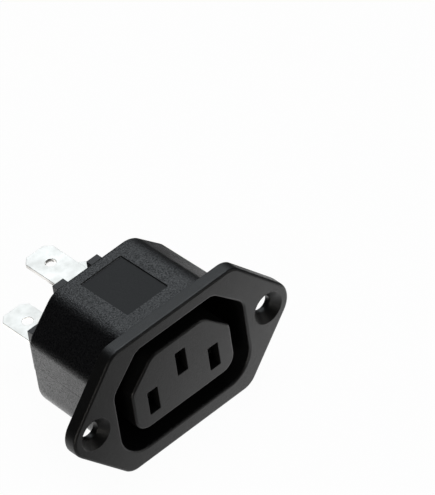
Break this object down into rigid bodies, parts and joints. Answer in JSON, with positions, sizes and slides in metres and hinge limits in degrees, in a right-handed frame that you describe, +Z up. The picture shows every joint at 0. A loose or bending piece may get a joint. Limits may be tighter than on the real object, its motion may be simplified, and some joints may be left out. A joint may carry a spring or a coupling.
{
  "type": "c13 power connector",
  "caption": "Panel-mounted appliance power outlet: elongated screw flange, keyed recess round a slotted centre block, and flat push-on tabs at the rear.",
  "frame": {"origin": "middle of the flange's rear face, halfway between the two screw holes, on the panel's front plane", "axes": "+X to the right seen from the front, +Y out of the rear of the connector, +Z up, towards the earth slot and the chamfered corners"},
  "size_m": [0.0494, 0.037, 0.028],
  "materials": {
    "housing_plastic": "fine spark-eroded texture, satin front face",
    "carrier_plastic": "moulded satin",
    "tinned_brass": "bright tin plating over brass sheet"
  },
  "bodies": {
    "root": {"housing": "housing_plastic", "terminal_carrier": "carrier_plastic", "line_terminal": "tinned_brass", "neutral_terminal": "tinned_brass", "earth_terminal": "tinned_brass"}
  },
  "joints": []
}
